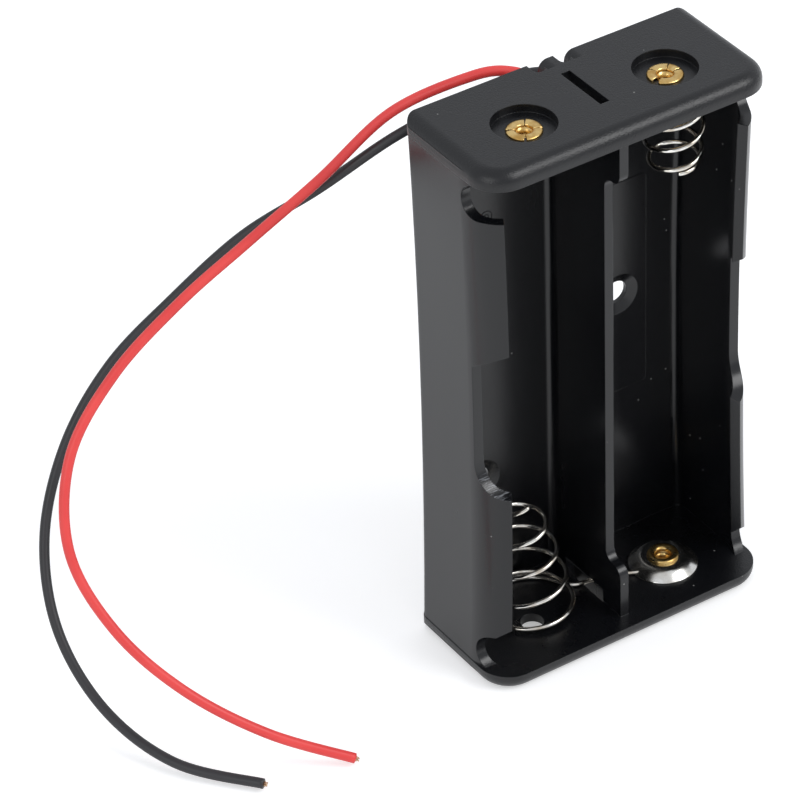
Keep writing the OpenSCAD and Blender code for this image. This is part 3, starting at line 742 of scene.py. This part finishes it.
def placed(parts, side, place):
    """Several parts as one, turned upside down where side is -1, and moved to a place."""
    points, faces, start = [], [], 0
    for part_points, part_faces in parts:
        faces += [[i + start for i in face][::side] for face in part_faces]
        points.append(part_points * [1, 1, side] + place)
        start += len(part_points)
    return np.concatenate(points), faces


# %% Eyelets
BRASS_T = 0.26
ROLL_POWER = 0.7
BORE_R, HEAD_R, ROLLED_R = 0.975, 2.02, 2.25
ROLL_R, ROLL_H = (ROLLED_R - BORE_R) / 2, 0.44
HEAD_T = 0.72
# each slit's angle and width in degrees
SLITS = {"positive": [(52, 5), (151, 13), (240, 9), (330, 4)],
         "negative": [(42, 4), (121, 9), (201, 24), (350, 11)],
         "series": [(20, 6), (110, 10), (205, 6), (290, 12)]}


def petals(top, slits):
    """The rolled end: between each slit and the next a strip bent from the bore outwards and down,
    its section two arcs about one centre, each coordinate drawn out by a power so that the roll is
    flat on top. Each petal lies a little lower or higher, and curls in a little more or less."""
    parts = []
    for k, (angle, width) in enumerate(slits):
        after, after_width = slits[(k + 1) % len(slits)]
        drop = 0.05 * (1 + np.sin(2.6 * k + angle))
        a = np.radians(np.linspace(-30 + 12 * np.cos(2 * k), 195, 24))
        arc = np.stack([np.cos(a), np.sin(a)], -1)
        arc = np.sign(arc) * np.abs(arc) ** ROLL_POWER * [ROLL_R, ROLL_H]
        section = np.vstack([arc, (arc * [1 - BRASS_T / ROLL_R, 1 - BRASS_T / ROLL_H])[::-1]])
        parts.append(turned(section + [BORE_R + ROLL_R, top - ROLL_H - drop], angle + width / 2,
                            after - after_width / 2 + 360 * (after <= angle), 32))
    return parts


def eyelet(name, x, side):
    """The eyelet of a node: its head's mouth at height 0, its rolled end up. side is -1 where the
    rolled end is the lower one."""
    low, high = (corner[2] for corner in node_box(name))
    tall = high - low
    r, s = BORE_R, BORE_R + BRASS_T
    head = [(r, 0.3), (r + 0.17, 0.13), (r + 0.45, 0.01), (HEAD_R - 0.25, 0.02),
            (HEAD_R - 0.07, 0.1), (HEAD_R, 0.24), (HEAD_R, 0.34), (HEAD_R - 0.1, 0.4),
            (HEAD_R - 0.1, 0.44), (HEAD_R, 0.5), (HEAD_R, HEAD_T), (s, HEAD_T), (s, 1), (r, 1)]
    shank = [(r, 0.9), (s, 0.9), (s, tall - ROLL_H - 0.1), (r, tall - ROLL_H - 0.1)]
    parts = [turned(head), turned(shank)] + petals(tall, SLITS[name.split("_")[0]])
    points, faces = placed(parts, side, [x, CONTACT_Y, low if side > 0 else high])
    piece = make_piece(name + "_rolled", points, faces, BRASS)
    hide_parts(name)


# %% Washers
WASHER_HOLE_R, WASHER_R, WASHER_T = 1.5, 4.45, 0.3
FLAT_R, FLANGE_SLOPE, FLANGE_EASE = 2.5, 0.8, 1.3


def washer(name, x, side):
    """A cupped washer: flat out to FLAT_R, then a flange that eases into a steady slope. side is
    -1 where its crown is the lower face."""
    low, high = (corner[2] for corner in node_box(name))
    r = np.linspace(WASHER_HOLE_R, WASHER_R, 40)
    slope = FLANGE_SLOPE * ease((r - FLAT_R) / FLANGE_EASE)
    fall = np.r_[0, np.cumsum((slope[1:] + slope[:-1]) / 2 * np.diff(r))]
    upper = np.stack([r, -fall], -1)
    section = np.vstack([upper - [0, WASHER_T], upper[::-1]])
    points, faces = placed([turned(section)], side, [x, CONTACT_Y, high if side > 0 else low])
    piece = make_piece(name + "_cupped", points, faces, NICKEL_SHEET)
    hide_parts(name)


eyelet("positive_contact_eyelet", -CONTACT_X, 1)
eyelet("negative_contact_eyelet", CONTACT_X, 1)
eyelet("series_contact_eyelet", CONTACT_X, -1)
washer("positive_contact_washer", -CONTACT_X, -1)
washer("series_contact_washer", CONTACT_X, 1)

# %% [markdown]
# ## Marks of the mould
# Where ejector pins pushed the moulding out, they left shallow rings on the backs of the bays. The
# right bay also has the outline of an empty label panel. Each is a low ridge whose round section
# is half sunk in the back, so it needs no more than a closed path and a ring carried along it.

# %% Ridges on the backs of the bays
FLOOR_Y = BACK_Y - 1.2
PIN_Z, PIN_R, DOT_SHARE = 58.5, 0.85, 0.42
PANEL_LOW, PANEL_HIGH, PANEL_HALF, PANEL_CORNER = 24.6, 55.8, 3.75, 0.7
BAY_X = 9.875
RIDGE_R, RIDGE_SIDES = 0.07, 8


def ridge(name, outline):
    """A closed ridge on a bay's back: a ring of radius RIDGE_R along an outline of (x, z) points,
    the first of which comes again at the end."""
    path = np.insert(np.asarray(outline, float), 1, FLOOR_Y, axis=1)
    around = np.vstack([path[-2], path, path[1]])
    rings = tube(around, RIDGE_R, RIDGE_SIDES, (0, 1, 0))[1:-2]
    count = len(rings)
    faces = grid_faces(count + 1, RIDGE_SIDES) % (count * RIDGE_SIDES)
    make_piece(name, rings.reshape(-1, 3), faces, ABS)


def rounded_outline(x, low, high, half, corner):
    """An upright rectangle about x with quarter circles at its corners."""
    a = np.radians(np.linspace(0, 90, 9))
    points = []
    for k, (side, end) in enumerate([(1, high - corner), (-1, high - corner), (-1, low + corner),
                                     (1, low + corner)]):
        turn = a + k * np.pi / 2
        points.append(np.stack([x + side * (half - corner) + corner * np.cos(turn),
                                end + corner * np.sin(turn)], -1))
    return np.vstack(points + [points[0][:1]])


whole_turn = np.radians(np.linspace(0, 360, 41))
for bay, side in (("left", -1), ("right", 1)):
    for part, r in (("rim", PIN_R), ("dot", PIN_R * DOT_SHARE)):
        ring = [side * BAY_X + r * np.cos(whole_turn), PIN_Z + r * np.sin(whole_turn)]
        ridge(f"{bay}_ejector_mark_{part}", np.stack(ring, -1))
ridge("label_panel_edge",
      rounded_outline(BAY_X, PANEL_LOW, PANEL_HIGH, PANEL_HALF, PANEL_CORNER))
